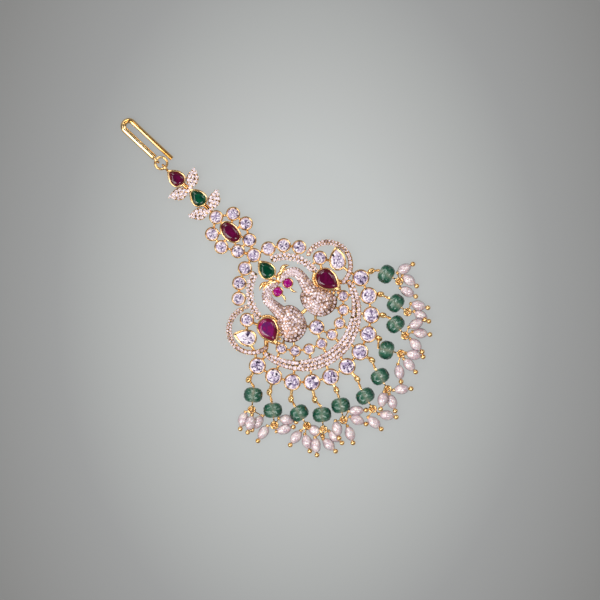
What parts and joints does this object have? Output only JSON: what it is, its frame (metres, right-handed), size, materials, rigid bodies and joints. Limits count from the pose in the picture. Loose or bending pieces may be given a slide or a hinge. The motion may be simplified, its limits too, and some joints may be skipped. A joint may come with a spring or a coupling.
{
  "type": "maang tikka",
  "caption": "Gold-plated forehead jewel with a facing-peacock pendant, red and green stones, a stem of pear links, a hair hook and a fringe of green beads and rice pearls.",
  "frame": {"origin": "on the flat back, under the middle of the round centre stone in the pendant", "axes": "+Y up the stem towards the hair hook, +X to the viewer's right, +Z out of the jewel's face"},
  "size_m": [0.0528, 0.0895, 0.0038],
  "materials": {
    "gold": "bright gold plate",
    "ruby": "polished cut stone",
    "emerald": "polished cut stone",
    "white_stone": "polished cut stone",
    "bead": "polished glass bead",
    "pearl": "lustrous pearl"
  },
  "bodies": {
    "root": {"hair_hook": "gold", "jump_ring": "gold", "frame": "gold", "top_ruby": "ruby", "link_emerald": "emerald", "flower_ruby": "ruby", "head_emerald": "emerald", "centre_stone": "white_stone", "eye_ruby_left": "ruby", "tail_ruby_left": "ruby", "tail_pear_left": "white_stone", "tail_round_left": "white_stone", "eye_ruby_right": "ruby", "tail_ruby_right": "ruby", "tail_pear_right": "white_stone", "tail_round_right": "white_stone", "drop_wire_1": "gold", "bead_1": "bead", "pearls_1": "pearl", "drop_wire_2": "gold", "bead_2": "bead", "pearls_2": "pearl", "drop_wire_3": "gold", "bead_3": "bead", "pearls_3": "pearl", "drop_wire_4": "gold", "bead_4": "bead", "pearls_4": "pearl", "drop_wire_5": "gold", "bead_5": "bead", "pearls_5": "pearl", "drop_wire_6": "gold", "bead_6": "bead", "pearls_6": "pearl", "drop_wire_7": "gold", "bead_7": "bead", "pearls_7": "pearl", "drop_wire_8": "gold", "bead_8": "bead", "pearls_8": "pearl", "drop_wire_9": "gold", "bead_9": "bead", "pearls_9": "pearl", "drop_wire_10": "gold", "bead_10": "bead", "pearls_10": "pearl", "drop_wire_11": "gold", "bead_11": "bead", "pearls_11": "pearl"}
  },
  "joints": []
}
